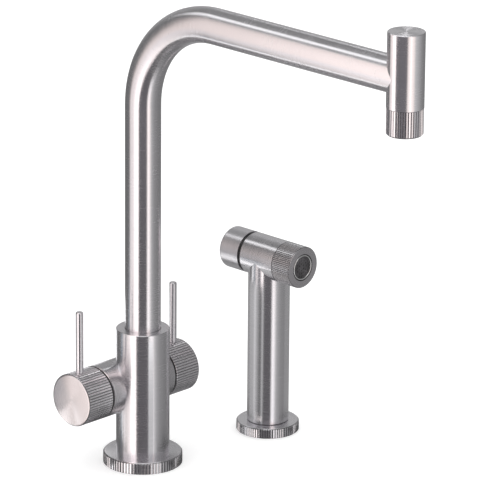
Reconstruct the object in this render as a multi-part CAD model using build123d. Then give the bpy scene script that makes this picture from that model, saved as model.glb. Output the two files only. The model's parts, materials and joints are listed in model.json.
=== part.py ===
from build123d import *
from math import cos, pi, radians, sin, sqrt
import os

# Kitchen mixer with two quarter-turn valves, a swivelling bent spout and a separate
# lift-out hand spray. Millimetres, +Z up, origin on the deck under the middle of the
# mixer. The spout points along -Y, the valves lie along X, the hand spray stands at +X.

os.makedirs("parts", exist_ok=True)

# ---------------------------------------------------------------- driving dimensions
# clearances
running_gap = 0.05        # radial, a part that turns or slides in its bore
fixed_gap = 0.04          # radial, a screwed, pressed or soldered part in its seat
face_gap = 0.1            # axial, between faces that run on each other
moving_gap = 0.3          # between parts that pass each other without touching
dock_gap = 0.1            # radial, the hand spray's sleeve over its holder

# mixer body, on the deck
body_radius = 21.0
body_top = 111.2
body_edge = 0.4
base_radius = 31.2
base_thickness = 9.5
base_groove_count = 80
rim_chamfer = 1.0
foot_chamfer = 0.4

# valve barrel across the back of the body
barrel_radius = 21.0
barrel_half_length = 33.5
valve_offset = 18.0       # behind the body's axis
valve_height = 61.5
valve_depth = 23.5        # of each valve's bore, from the end of the barrel

# inlet manifold, screwed up into the body from below
manifold_radius = 17.5
manifold_height = 34.0
port_circle = 10.8
port_radius = 4.5         # core of an M10x1 thread
port_depth = 14.0
stud_radius = 3.4         # core of an M8 thread
stud_depth = 14.0
waterway_radius = 3.0
port_angles = {"hot": 135.0, "cold": 45.0, "spray": 270.0}

# knobs and levers
knob_radius = 21.0
knob_gap = 1.7            # dark gap between the barrel and the knob
knob_length = 25.2
knob_groove_count = 60
knob_chamfer = 0.8
knob_bore = 15.5
knob_bore_depth = 9.8
lever_radius = 2.95
lever_tip_height = 132.0
lever_inset = 9.1         # from the knob's plain face
hub_past_lever = 4.6      # the hub inside the knob ends here beyond the lever
lever_thread_radius = 2.45
lever_seat_depth = 3.0
lever_thread_depth = 8.5
knob_screw_radius = 2.0

# valve cartridges
valve_bore = 11.0
valve_thread = 12.5
valve_thread_length = 8.5
seat_seal_thickness = 2.0
seat_seal_bore = 5.2
disc_radius = 9.0
disc_thickness = 2.9
cartridge_wall = 1.15
spindle_radius = 5.0
spindle_foot = 2.3
spline_radius = 3.95
spline_groove_count = 20
nut_radius = 13.5
nut_thickness = 4.0
nose_length = 4.5
drive_width = 3.0
drive_depth = 1.1

# spout
tube_radius = 14.0
tube_wall = 1.2
bend_radius = 77.0
arm_height = 370.2
spout_reach = 269.5
outlet_radius = 14.05
outlet_wall = 2.5
outlet_cap = 3.8          # thickness of its flat top
outlet_rise = 34.8        # flat top above the arm's axis
outlet_neck_drop = 22.2   # lower end of the plain part below the arm's axis
outlet_edge = 0.5
outlet_port = 9.0         # hole in its side, inside the arm
neck_radius = 12.4

# aerator under the outlet
collar_radius = 13.9
collar_length = 20.5
collar_groove_count = 44
collar_chamfer = 1.2
collar_seam = 0.2
aerator_radius = 11.0
aerator_height = 8.0
aerator_lip = 1.2
aerator_lip_width = 1.0
aerator_washer_thickness = 1.7
grid_pitch = 2.8
grid_rib = 0.6
grid_radius = 8.6

# spout foot in the body's socket
socket_radius = 12.0
socket_depth = 31.2       # from the body's top
collar_pocket_depth = 10.0
glide_thickness = 2.0
foot_flange_thickness = 2.0
foot_spigot_length = 16.0
foot_bore = 8.0
foot_end_gap = 1.0
ring_groove_floor = 9.4
ring_groove_width = 2.9
lock_groove_floor = 10.0
lock_groove_width = 4.0
lock_screw_radius = 2.45
lock_screw_tip = 1.5

# diverter under the spout foot
diverter_radius = 9.5
diverter_depth = 18.0     # below the socket
diverter_bore = 6.3
diverter_floor = 2.4
diverter_seat_width = 2.0
diverter_travel = 3.0
poppet_length = 9.8
poppet_stem_radius = 2.5
poppet_rim = 0.4          # step under the rubber seal

# hand spray and its holder
spray_x = 122.7
spray_y = -18.6
spray_base_radius = 25.1
spray_base_thickness = 8.2
spray_base_groove_count = 78
holder_radius = 12.5
holder_height = 34.0
holder_hose_bore = 8.0
holder_thread_radius = 10.2   # core of an M22 shank thread
holder_thread_depth = 12.0
holder_foot_radius = 15.5
holder_foot_thickness = 4.0
column_radius = 16.7
column_wall = 2.0
sleeve_length = 26.0
hose_thread_radius = 5.8      # core of a G1/4 thread
hose_thread_depth = 10.0
hose_inlet_height = 46.0
hose_inlet_length = 14.0
riser_radius = 4.9
riser_wall = 1.1
riser_seat = 3.2

# spray head across the top of the column, along Y
head_height = 144.6
head_radius = 16.75
head_wall = 2.35
head_front = 17.9         # plain tube in front of the column's axis
head_back = 16.4          # plain tube behind it
head_neck_radius = 15.2
head_outlet = 11.0        # bore of the neck, behind the spray face
nozzle_length = 18.7
nozzle_groove_count = 72
nozzle_chamfer = 0.6
nozzle_opening = 10.9
nozzle_lip = 2.0
face_radius = 13.6
face_thickness = 3.5
face_nose_radius = 9.3
face_nose_rise = 1.1
face_seal_thickness = 1.1
bezel_rise = 1.5
bezel_width = 1.1
jet_rings = 3
jet_pitch = 2.6
jet_radius = 0.75
jet_rise = 0.5

# push cap at the back of the spray head
cap_travel = 2.5
cap_stop_gap = 0.6        # of the dark gap that is left with the cap pressed home
cap_length = 20.0
cap_skirt_radius = 15.7
cap_end_wall = 4.0
cap_edge = 1.6
guide_radius = 15.6
guide_wall = 2.6
guide_reach = 13.0
stem_radius = 2.5
stem_neck_radius = 1.8    # through the rubber disc
stem_head_radius = 4.0
stem_head_length = 1.4
stem_seal_radius = 4.6
stem_seal_thickness = 2.0
valve_disc_radius = 5.5
valve_disc_thickness = 2.5
valve_seat_hole = 4.2
valve_chamber_radius = 7.0
valve_seat = 3.0          # face that the rubber disc closes on, behind the column's axis
housing_half = 12.0
housing_wall = 3.0
spring_radius = 8.0
spring_wire = 1.1
spring_turns = 5

# knurling
knurl_depth = 0.55
fine_knurl_depth = 0.35
knurl_land = 0.5          # share of each pitch left as a flat land

# sealing rings
gasket_width = 4.0
gasket_depth = 1.5
base_gasket_radius = 24.0
spray_gasket_radius = 18.5
ring_thickness = 2.6      # sealing rings of the spout foot and the manifold
small_ring_thickness = 1.9    # sealing rings of the cartridges


# ---------------------------------------------------------------- shapes used by many
def turned(*points):
    """A solid turned about Z from its (radius, height) outline."""
    outline = make_face(Plane.XZ * Polyline(*points, close=True))
    return revolve(outline, Axis.Z)


def ring(outer, inner, low, high):
    return turned((inner, low), (outer, low), (outer, high), (inner, high))


def disc(radius, low, high):
    return Pos(0, 0, low) * extrude(Circle(radius), high - low)


def polar(radius, angle):
    return (radius * cos(angle), radius * sin(angle))


def knurl_outline(radius, grooves, depth):
    """Flat lands with one straight V groove between each two, the first land across +X."""
    pitch = 2 * pi / grooves
    points = []
    for n in range(grooves):
        start = (n - knurl_land / 2) * pitch
        points.append(polar(radius, start))
        points.append(polar(radius, start + knurl_land * pitch))
        points.append(polar(radius - depth, start + (1 + knurl_land) / 2 * pitch))
    return make_face(Polyline(*points, close=True))


def knurled_disc(radius, grooves, depth, low, high, low_chamfer, high_chamfer):
    """A knurled cylinder with both edges chamfered, one flat of chamfer to each land."""
    past = 1.0                # the chamfers run on this far outside the lands

    def section(apothem, height):
        flats = RegularPolygon(apothem, grooves, major_radius=False, rotation=180 / grooves)
        return Pos(0, 0, height) * flats

    blank = loft(
        [
            section(radius - low_chamfer, low),
            section(radius + past, low + low_chamfer + past),
            section(radius + past, high - high_chamfer - past),
            section(radius - high_chamfer, high),
        ],
        ruled=True,
    )
    teeth = Pos(0, 0, low) * extrude(knurl_outline(radius, grooves, depth), high - low)
    return teeth & blank


def drill(start, end, radius):
    """A round hole's solid between two points."""
    run = Vector(*end) - Vector(*start)
    plane = Plane(origin=start, z_dir=run.normalized())
    return plane * extrude(Circle(radius), run.length)


def sealing_ring(outer, inner, thickness, height):
    """A round rubber ring as it sits in its groove, squeezed flat inside and outside."""
    flat = thickness * 0.3
    bulge = thickness / 2
    middle = (outer + inner) / 2
    return turned(
        (inner, height - flat),
        (middle, height - bulge),
        (outer, height - flat),
        (outer, height + flat),
        (middle, height + bulge),
        (inner, height + flat),
    )


def hex_socket(across_flats, depth):
    return extrude(RegularPolygon(across_flats / 2, 6, major_radius=False), depth)


def save(name, shape):
    shape.label = name
    export_step(shape, f"parts/{name}.step")


# ---------------------------------------------------------------- places
def valve_place(side):
    """Along a valve: local +Z runs out of the barrel, local +X points up."""
    return Plane(origin=(0, valve_offset, valve_height), x_dir=(0, 0, 1), z_dir=(side, 0, 0))


spray_place = Pos(spray_x, spray_y, 0)

# along the spray head: local +Z runs back to the push cap, local +X points up
head_place = Plane(origin=(spray_x, spray_y, head_height), x_dir=(0, 0, 1), z_dir=(0, 1, 0))

SIDES = {"left": -1, "right": 1}


# ---------------------------------------------------------------- base of the mixer
def gasket_groove(inner_radius):
    return ring(inner_radius + gasket_width, inner_radius, 0, gasket_depth)


def gasket(inner_radius):
    outer = inner_radius + gasket_width - fixed_gap
    return ring(outer, inner_radius + fixed_gap, 0, gasket_depth - fixed_gap)


def base_flange():
    plate = knurled_disc(
        base_radius, base_groove_count, knurl_depth, 0, base_thickness, foot_chamfer, rim_chamfer
    )
    bore = disc(manifold_radius + fixed_gap, 0, base_thickness)
    return plate - bore - gasket_groove(base_gasket_radius)


def port_point(name, height):
    x, y = polar(port_circle, radians(port_angles[name]))
    return (x, y, height)


manifold_ring_height = manifold_height - 2 * ring_groove_width
manifold_ring_floor = manifold_radius - ring_thickness


def inlet_manifold():
    body = turned(
        (0, 0),
        (manifold_radius, 0),
        (manifold_radius, manifold_ring_height - ring_groove_width / 2),
        (manifold_ring_floor, manifold_ring_height - ring_groove_width / 2),
        (manifold_ring_floor, manifold_ring_height + ring_groove_width / 2),
        (manifold_radius, manifold_ring_height + ring_groove_width / 2),
        (manifold_radius, manifold_height),
        (0, manifold_height),
    )
    body -= disc(stud_radius, 0, stud_depth)
    for name in port_angles:
        low, mid, top = (port_point(name, z) for z in (0, port_depth, manifold_height))
        body -= drill(low, mid, port_radius)
        body -= drill(mid, top, waterway_radius)
    return body


def manifold_seal():
    inner = manifold_ring_floor + fixed_gap
    return sealing_ring(manifold_radius, inner, ring_thickness, manifold_ring_height)


# ---------------------------------------------------------------- mixer body
socket_floor = body_top - socket_depth
pocket_floor = body_top - collar_pocket_depth
foot_low = socket_floor + foot_end_gap
lock_height = (foot_low + pocket_floor) / 2
chamber_floor = socket_floor - diverter_depth
pocket_radius = tube_radius + moving_gap


seat_face = barrel_half_length - valve_depth
thread_low = barrel_half_length - valve_thread_length


def valve_bores(side):
    along = disc(valve_bore, seat_face, barrel_half_length)
    along += disc(valve_thread, thread_low, barrel_half_length)
    along += disc(seat_seal_bore, seat_face / 2, seat_face)
    return valve_place(side) * along


def waterways():
    """Drilled ways: two inlets to the valve seats, two outlets to the chamber, one to the spray."""
    outlet_height = valve_height + waterway_radius
    ways = []
    for name, side in (("hot", -1), ("cold", 1)):
        seat = (side * seat_face * 0.6, valve_offset, valve_height)
        ways.append(drill(port_point(name, manifold_height), seat, waterway_radius))
        start = (side * (seat_face + disc_radius), valve_offset - disc_radius * 0.6, outlet_height)
        end = (side * diverter_radius / 4, diverter_radius / 4, outlet_height + waterway_radius)
        ways.append(drill(start, end, waterway_radius))
    elbow = port_point("spray", chamber_floor - 2 * waterway_radius)
    ways.append(drill(port_point("spray", manifold_height), elbow, waterway_radius))
    ways.append(drill(elbow, (0, 0, chamber_floor + diverter_floor / 2), waterway_radius))
    return ways


def mixer_body():
    column = turned(
        (0, base_thickness),
        (body_radius, base_thickness),
        (body_radius, body_top - body_edge),
        (body_radius - body_edge, body_top),
        (0, body_top),
    )
    edge = body_edge
    half_barrel = turned(
        (0, 0),
        (barrel_radius, 0),
        (barrel_radius, barrel_half_length - edge),
        (barrel_radius - edge, barrel_half_length),
        (0, barrel_half_length),
    )
    body = column
    for side in SIDES.values():
        body += valve_place(side) * half_barrel
    body -= disc(manifold_radius + fixed_gap, base_thickness, manifold_height)
    body -= disc(pocket_radius, pocket_floor, body_top)
    body -= disc(socket_radius, socket_floor, pocket_floor)
    body -= disc(diverter_radius, chamber_floor, socket_floor)
    for side in SIDES.values():
        body -= valve_bores(side)
    for way in waterways():
        body -= way
    hole = lock_screw_radius + fixed_gap
    body -= drill((0, 0, lock_height), (0, body_radius + 1, lock_height), hole)
    return body


def diverter_body():
    floor = chamber_floor + running_gap
    top = socket_floor - face_gap
    seat_low = chamber_floor + diverter_floor + poppet_length + diverter_travel + 2 * face_gap
    outer = diverter_radius - fixed_gap
    cup = turned(
        (waterway_radius, floor),
        (outer, floor),
        (outer, top),
        (diverter_bore - diverter_seat_width, top),
        (diverter_bore - diverter_seat_width, seat_low),
        (diverter_bore, seat_low),
        (diverter_bore, chamber_floor + diverter_floor),
        (waterway_radius, chamber_floor + diverter_floor),
    )
    window_height = valve_height + 2.5 * waterway_radius
    for angle in range(0, 180, 45):
        x, y = polar(diverter_radius + 1, radians(angle))
        cup -= drill((-x, -y, window_height), (x, y, window_height), waterway_radius * 0.6)
    return cup


poppet_low = chamber_floor + diverter_floor + face_gap
poppet_top = poppet_low + poppet_length
poppet_radius = diverter_bore - running_gap
poppet_skirt = poppet_low + poppet_length * 0.2
poppet_head = poppet_top - poppet_length * 0.25
poppet_face = poppet_top - poppet_length * 0.1


def diverter_poppet():
    """A guided skirt below and a sealing head above, joined by a thinner stem."""
    return turned(
        (0, poppet_low),
        (poppet_radius, poppet_low),
        (poppet_radius, poppet_skirt),
        (poppet_stem_radius, poppet_skirt),
        (poppet_stem_radius, poppet_head),
        (poppet_radius - poppet_rim, poppet_head),
        (poppet_radius - poppet_rim, poppet_face),
        (poppet_stem_radius, poppet_face),
        (poppet_stem_radius, poppet_top),
        (0, poppet_top),
    )


def diverter_seal():
    return ring(poppet_radius - poppet_rim, poppet_stem_radius + fixed_gap, poppet_face, poppet_top)


# ---------------------------------------------------------------- spout
tube_low = pocket_floor + glide_thickness + face_gap + foot_flange_thickness
foot_radius = socket_radius - running_gap
upper_ring = (lock_height + lock_groove_width / 2 + pocket_floor) / 2
lower_ring = (lock_height - lock_groove_width / 2 + foot_low) / 2


def spout_glide_ring():
    inner = socket_radius + running_gap
    return ring(pocket_radius - fixed_gap, inner, pocket_floor, pocket_floor + glide_thickness)


def spout_foot():
    half = ring_groove_width / 2
    lock = lock_groove_width / 2
    flange_low = tube_low - foot_flange_thickness
    spigot = tube_radius - tube_wall - fixed_gap
    return turned(
        (foot_bore, foot_low),
        (foot_radius, foot_low),
        (foot_radius, lower_ring - half),
        (ring_groove_floor, lower_ring - half),
        (ring_groove_floor, lower_ring + half),
        (foot_radius, lower_ring + half),
        (foot_radius, lock_height - lock),
        (lock_groove_floor, lock_height - lock),
        (lock_groove_floor, lock_height + lock),
        (foot_radius, lock_height + lock),
        (foot_radius, upper_ring - half),
        (ring_groove_floor, upper_ring - half),
        (ring_groove_floor, upper_ring + half),
        (foot_radius, upper_ring + half),
        (foot_radius, flange_low),
        (tube_radius, flange_low),
        (tube_radius, tube_low),
        (spigot, tube_low),
        (spigot, tube_low + foot_spigot_length),
        (foot_bore, tube_low + foot_spigot_length),
    )


def spout_seals():
    outer = socket_radius - running_gap
    inner = ring_groove_floor + fixed_gap
    rings = [sealing_ring(outer, inner, ring_thickness, z) for z in (lower_ring, upper_ring)]
    return Compound(children=rings)


def spout_retaining_screw():
    tip_end = lock_groove_floor + moving_gap
    shoulder = socket_radius + running_gap
    head = body_radius - lock_screw_radius / 4
    screw = turned(
        (0, tip_end),
        (lock_screw_tip, tip_end),
        (lock_screw_tip, shoulder),
        (lock_screw_radius, shoulder),
        (lock_screw_radius, head),
        (0, head),
    )
    screw -= Pos(0, 0, head - lock_screw_radius) * hex_socket(lock_screw_radius, lock_screw_radius)
    return Plane(origin=(0, 0, lock_height), x_dir=(1, 0, 0), z_dir=(0, 1, 0)) * screw


def bent_round(radius):
    """Solid round bar along the spout: up, a quarter bend, then the arm."""
    bend_low = arm_height - bend_radius
    rise = disc(radius, tube_low, bend_low)
    section = Pos(0, 0, bend_low) * Circle(radius)
    bend = revolve(section, Axis((0, -bend_radius, bend_low), (1, 0, 0)), 90)
    arm = drill((0, -bend_radius, arm_height), (0, -spout_reach, arm_height), radius)
    return rise + bend + arm


def spout_tube():
    """The arm's end is cut to the round of the outlet that it is soldered to."""
    tube = bent_round(tube_radius) - bent_round(tube_radius - tube_wall)
    return tube - outlet_place * disc(outlet_radius + fixed_gap, outlet_low, outlet_top)


outlet_top = arm_height + outlet_rise
outlet_low = arm_height - outlet_neck_drop
collar_high = outlet_low - collar_seam
collar_low = collar_high - collar_length
aerator_low = collar_low + aerator_lip
washer_low = aerator_low + aerator_height + running_gap
washer_high = washer_low + aerator_washer_thickness
neck_low = washer_high + fixed_gap
outlet_place = Pos(0, -spout_reach, 0)


def spout_outlet():
    inner = outlet_radius - outlet_wall
    neck_bore = neck_radius - outlet_wall
    head = turned(
        (0, outlet_top),
        (outlet_radius - outlet_edge, outlet_top),
        (outlet_radius, outlet_top - outlet_edge),
        (outlet_radius, outlet_low),
        (neck_radius, outlet_low),
        (neck_radius, neck_low),
        (neck_bore, neck_low),
        (neck_bore, outlet_low),
        (inner, outlet_low + inner - neck_bore),
        (inner, outlet_top - outlet_cap),
        (0, outlet_top - outlet_cap),
    )
    side_hole = drill((0, 0, arm_height), (0, outlet_radius + 1, arm_height), outlet_port)
    return outlet_place * (head - side_hole)


def aerator_collar():
    body = knurled_disc(
        collar_radius, collar_groove_count, knurl_depth, collar_low, collar_high,
        collar_chamfer, body_edge,
    )
    body -= disc(aerator_radius - aerator_lip_width, collar_low, aerator_low)
    body -= disc(aerator_radius, aerator_low, washer_high)
    body -= disc(neck_radius + fixed_gap, washer_high, collar_high)
    return outlet_place * body


def aerator_insert():
    """Plastic flow straightener: a drum with square ways right through it."""
    drum = disc(aerator_radius - fixed_gap, aerator_low, aerator_low + aerator_height)
    hole = grid_pitch - grid_rib
    count = int(grid_radius / grid_pitch)
    ways = [
        Pos(i * grid_pitch, j * grid_pitch, aerator_low) * extrude(Rectangle(hole, hole), aerator_height)
        for i in range(-count, count + 1)
        for j in range(-count, count + 1)
        if sqrt(i * i + j * j) * grid_pitch + hole / 2 < grid_radius
    ]
    return outlet_place * (drum - ways)


def aerator_washer():
    inner = neck_radius - outlet_wall - aerator_lip_width
    return outlet_place * ring(aerator_radius - fixed_gap, inner, washer_low, washer_high)


# ---------------------------------------------------------------- valve cartridges
fixed_disc_low = seat_face + seat_seal_thickness + running_gap
moving_disc_low = fixed_disc_low + disc_thickness + running_gap
spindle_low = moving_disc_low + disc_thickness + running_gap
cavity_high = spindle_low + spindle_foot + face_gap
cartridge_radius = disc_radius + running_gap + cartridge_wall
nut_high = barrel_half_length + nut_thickness
nose_high = nut_high + nose_length
cartridge_ring_height = (cavity_high + thread_low) / 2 + 0.2
cartridge_ring_floor = valve_bore - small_ring_thickness
knob_low = barrel_half_length + knob_gap
knob_end = knob_low + knob_length


def cartridge_body():
    ring_half = small_ring_thickness / 2 + running_gap
    bearing = spindle_radius + running_gap
    cavity = disc_radius + running_gap
    shell = turned(
        (cavity, fixed_disc_low),
        (cartridge_radius, fixed_disc_low),
        (cartridge_radius, cartridge_ring_height - ring_half),
        (cartridge_ring_floor, cartridge_ring_height - ring_half),
        (cartridge_ring_floor, cartridge_ring_height + ring_half),
        (cartridge_radius, cartridge_ring_height + ring_half),
        (cartridge_radius, thread_low + fixed_gap),
        (valve_thread - fixed_gap, thread_low + fixed_gap),
        (valve_thread - fixed_gap, barrel_half_length),
        (nut_radius, barrel_half_length),
        (nut_radius, nut_high),
        (cartridge_radius - 1, nut_high),
        (cartridge_radius - 1, nose_high),
        (bearing, nose_high),
        (bearing, cavity_high),
        (cavity, cavity_high),
    )
    window = Box(2 * valve_bore, 2 * waterway_radius, disc_thickness)
    shell -= Pos(0, 0, moving_disc_low + disc_thickness / 2) * window
    return shell


def half_ports(plate_radius, low):
    """The two opposite openings that the ceramic discs cover and uncover."""
    away = plate_radius * 0.5
    hole = disc(plate_radius * 0.28, low, low + disc_thickness)
    return [Pos(0, s * away, 0) * hole for s in (-1, 1)]


def fixed_disc():
    high = fixed_disc_low + disc_thickness
    return disc(disc_radius, fixed_disc_low, high) - half_ports(disc_radius, fixed_disc_low)


def moving_disc():
    high = moving_disc_low + disc_thickness
    plate = disc(disc_radius - running_gap, moving_disc_low, high)
    slot = Box(2 * disc_radius, drive_width, 2 * drive_depth)
    return plate - half_ports(disc_radius, moving_disc_low) - Pos(0, 0, high) * slot


def spindle():
    foot_high = spindle_low + spindle_foot
    spline_low = nose_high + moving_gap
    spline_high = hub_high - moving_gap
    shaft = disc(disc_radius - 2 * running_gap, spindle_low, foot_high)
    shaft += disc(spindle_radius, foot_high, spline_low)
    splines = knurl_outline(spline_radius, spline_groove_count, fine_knurl_depth)
    shaft += Pos(0, 0, spline_low) * extrude(splines, spline_high - spline_low)
    tongue_depth = drive_depth - running_gap
    tongue = Box(
        1.6 * disc_radius, drive_width - 2 * running_gap, tongue_depth,
        align=(Align.CENTER, Align.CENTER, Align.MAX),
    )
    return shaft + Pos(0, 0, spindle_low) * tongue


lever_along = knob_end - lever_inset
hub_high = lever_along + hub_past_lever


def knob():
    body = knurled_disc(
        knob_radius, knob_groove_count, knurl_depth, knob_low, knob_end, foot_chamfer, knob_chamfer
    )
    body -= disc(knob_bore, knob_low, knob_low + knob_bore_depth)
    body -= disc(spline_radius + fixed_gap, knob_low + knob_bore_depth, hub_high)
    seat_low = knob_radius - lever_seat_depth
    thread_end = seat_low - lever_thread_depth - fixed_gap
    body -= drill((seat_low, 0, lever_along), (knob_radius + 1, 0, lever_along), lever_radius + fixed_gap)
    body -= drill((thread_end, 0, lever_along), (seat_low, 0, lever_along), lever_thread_radius + fixed_gap)
    body -= drill((0, 0, lever_along), (-knob_radius - 1, 0, lever_along), knob_screw_radius + fixed_gap)
    return body


def lever():
    """Plain round pin, screwed into the knob, with a turned edge at its tip."""
    seat_low = knob_radius - lever_seat_depth
    tip = lever_tip_height - valve_height
    edge = lever_radius * 0.2
    pin = turned(
        (0, seat_low - lever_thread_depth),
        (lever_thread_radius, seat_low - lever_thread_depth),
        (lever_thread_radius, seat_low),
        (lever_radius, seat_low),
        (lever_radius, tip - edge),
        (lever_radius - edge, tip),
        (0, tip),
    )
    return Plane(origin=(0, 0, lever_along), x_dir=(0, 1, 0), z_dir=(1, 0, 0)) * pin


def knob_screw():
    """Set screw from below that clamps the knob on its spindle."""
    inner = spline_radius + fixed_gap
    outer = knob_radius - 2 * knurl_depth
    screw = disc(knob_screw_radius, inner, outer)
    screw -= Pos(0, 0, outer - knob_screw_radius) * hex_socket(knob_screw_radius, knob_screw_radius)
    return Plane(origin=(0, 0, lever_along), x_dir=(0, 1, 0), z_dir=(-1, 0, 0)) * screw


def glide_ring():
    """Black plastic ring in the gap between the barrel and the knob."""
    outer = barrel_radius - 2 * body_edge
    return ring(outer, nut_radius + moving_gap, barrel_half_length, knob_low - moving_gap)


# ---------------------------------------------------------------- holder of the hand spray
def spray_flange():
    plate = knurled_disc(
        spray_base_radius, spray_base_groove_count, knurl_depth, 0, spray_base_thickness,
        foot_chamfer, rim_chamfer,
    )
    plate -= disc(holder_radius + fixed_gap, 0, spray_base_thickness)
    plate -= disc(holder_foot_radius + fixed_gap, 0, holder_foot_thickness)
    return spray_place * (plate - gasket_groove(spray_gasket_radius))


def spray_holder():
    edge = 1.0
    return spray_place * turned(
        (holder_thread_radius, 0),
        (holder_foot_radius, 0),
        (holder_foot_radius, holder_foot_thickness),
        (holder_radius, holder_foot_thickness),
        (holder_radius, holder_height - edge),
        (holder_radius - edge, holder_height),
        (holder_hose_bore, holder_height),
        (holder_hose_bore, holder_thread_depth),
        (holder_thread_radius, holder_thread_depth),
    )


# ---------------------------------------------------------------- hand spray
column_low = spray_base_thickness + moving_gap
column_bore = column_radius - column_wall


def spray_column():
    edge = foot_chamfer
    tube = turned(
        (column_bore, column_low),
        (column_radius - edge, column_low),
        (column_radius, column_low + edge),
        (column_radius, head_height),
        (column_bore, head_height),
    )
    head = head_place * disc(head_radius + fixed_gap, -2 * head_radius, 2 * head_radius)
    return spray_place * tube - head


def dock_sleeve():
    low = column_low + face_gap
    outer = column_bore - fixed_gap
    inner = holder_radius + dock_gap
    return spray_place * ring(outer, inner, low, low + sleeve_length)


def hose_inlet():
    low = hose_inlet_height
    web = low + hose_thread_depth + 1
    high = low + hose_inlet_length
    return spray_place * turned(
        (hose_thread_radius, low),
        (column_bore - fixed_gap, low),
        (column_bore - fixed_gap, high),
        (riser_radius + fixed_gap, high),
        (riser_radius + fixed_gap, web),
        (riser_radius - riser_wall, web),
        (riser_radius - riser_wall, low + hose_thread_depth),
        (hose_thread_radius, low + hose_thread_depth),
    )


housing_radius = head_radius - head_wall - fixed_gap


def riser_tube():
    low = hose_inlet_height + hose_thread_depth + 1
    high = head_height - housing_radius + riser_seat
    return spray_place * ring(riser_radius, riser_radius - riser_wall, low, high)


nozzle_back = -head_front - collar_seam
nozzle_front = -head_front - nozzle_length
face_low = nozzle_front + nozzle_lip
face_high = face_low + face_thickness
face_seal_high = face_high + face_seal_thickness
neck_front = face_seal_high + fixed_gap


def spray_head():
    bore = head_radius - head_wall
    tube = turned(
        (bore, head_back),
        (head_radius, head_back),
        (head_radius, -head_front),
        (head_neck_radius, -head_front),
        (head_neck_radius, neck_front),
        (head_outlet, neck_front),
        (head_outlet, -head_front),
        (bore, -head_front + bore - head_outlet),
    )
    hole = drill((0, 0, 0), (-head_radius - 1, 0, 0), riser_radius + 2 * fixed_gap)
    return head_place * (tube - hole)


def valve_housing():
    """Brass valve block, bored from the front: water rises into the front chamber, passes the
    seat when the disc moves forward, and runs out through the side channels to the nozzle."""
    rear_wall = housing_half - housing_wall
    block = disc(housing_radius, -housing_half, housing_half)
    block -= disc(valve_chamber_radius, -housing_half, valve_seat)
    block -= disc(valve_seat_hole, valve_seat, rear_wall)
    block -= disc(stem_radius + running_gap, rear_wall, housing_half)
    block -= disc(stem_seal_radius, housing_half - stem_seal_thickness, housing_half)
    riser_end = riser_seat - housing_radius
    block -= drill((-housing_radius - 1, 0, 0), (riser_end, 0, 0), riser_radius + fixed_gap)
    block -= drill((riser_end, 0, 0), (-valve_chamber_radius / 2, 0, 0), riser_radius - riser_wall)
    channel = Box(
        2 * riser_seat, waterway_radius, rear_wall + housing_half,
        align=(Align.CENTER, Align.CENTER, Align.MAX),
    )
    middle = (valve_seat + rear_wall) / 2
    for angle in (60, 120, 240, 300):
        turn = Rot(0, 0, angle + 90)
        block -= turn * (Pos(housing_radius, 0, rear_wall) * channel)
        block -= turn * drill((0, 0, middle), (housing_radius, 0, middle), waterway_radius / 2)
    return head_place * block


def valve_plug():
    """Screws into the front of the valve block and closes its chamber."""
    plug = disc(valve_chamber_radius - fixed_gap, -housing_half, -housing_half + housing_wall)
    socket = hex_socket(valve_chamber_radius, housing_wall / 2)
    return head_place * (plug - Pos(0, 0, -housing_half) * socket)


def stem_seal():
    low = housing_half - stem_seal_thickness + running_gap
    high = housing_half - running_gap
    return head_place * ring(stem_seal_radius - fixed_gap, stem_radius + running_gap, low, high)


def nozzle_collar():
    body = knurled_disc(
        head_radius, nozzle_groove_count, fine_knurl_depth, nozzle_front, nozzle_back,
        nozzle_chamfer, foot_chamfer,
    )
    body -= disc(head_neck_radius + fixed_gap, face_seal_high, nozzle_back)
    body -= disc(face_radius + fixed_gap, face_low, face_seal_high)
    body -= disc(nozzle_opening, nozzle_front, face_low)
    return head_place * body


def spray_face():
    """Black soft face with its rings of small jets."""
    nose = face_low - face_nose_rise
    plate = disc(face_radius, face_low, face_high)
    plate += disc(face_nose_radius, nose, face_low)
    jet = Pos(0, 0, nose - jet_rise) * extrude(RegularPolygon(jet_radius, 6), jet_rise)
    jets = [jet]
    for n in range(1, jet_rings + 1):
        for k in range(6 * n):
            x, y = polar(n * jet_pitch, k * pi / (3 * n))
            jets.append(Pos(x, y, 0) * jet)
    return head_place * (plate + jets)


def nozzle_bezel():
    inner = face_nose_radius + fixed_gap
    return head_place * ring(inner + bezel_width, inner, face_low - bezel_rise, face_low)


def face_seal():
    return head_place * ring(face_radius, head_outlet, face_high, face_seal_high)


# ---------------------------------------------------------------- push cap
cap_front = head_back + cap_travel + cap_stop_gap
cap_back = cap_front + cap_length
cap_inner_face = cap_back - cap_end_wall
disc_back = valve_seat - running_gap
disc_front = disc_back - valve_disc_thickness
stem_front = disc_front - stem_head_length


def button_guide():
    """Black sleeve on the back of the head that the push cap slides over."""
    low = housing_half + fixed_gap
    return head_place * turned(
        (stem_radius + running_gap, low),
        (head_radius - head_wall - fixed_gap, low),
        (head_radius - head_wall - fixed_gap, head_back),
        (guide_radius, head_back),
        (guide_radius, head_back + guide_reach),
        (guide_radius - guide_wall, head_back + guide_reach),
        (guide_radius - guide_wall, head_back),
        (stem_radius + running_gap, head_back),
    )


def push_cap():
    boss = 2 * stem_radius
    steps = 4
    turns = [radians(90 * k / steps) for k in range(steps + 1)]
    edge = [
        (head_radius - cap_edge * (1 - cos(a)), cap_back - cap_edge * (1 - sin(a))) for a in turns
    ]
    return head_place * turned(
        (stem_radius + fixed_gap, cap_inner_face - boss),
        (boss, cap_inner_face - boss),
        (boss, cap_inner_face),
        (cap_skirt_radius, cap_inner_face),
        (cap_skirt_radius, cap_front),
        (head_radius, cap_front),
        *edge,
        (0, cap_back),
        (0, cap_inner_face),
        (stem_radius + fixed_gap, cap_inner_face),
    )


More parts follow.
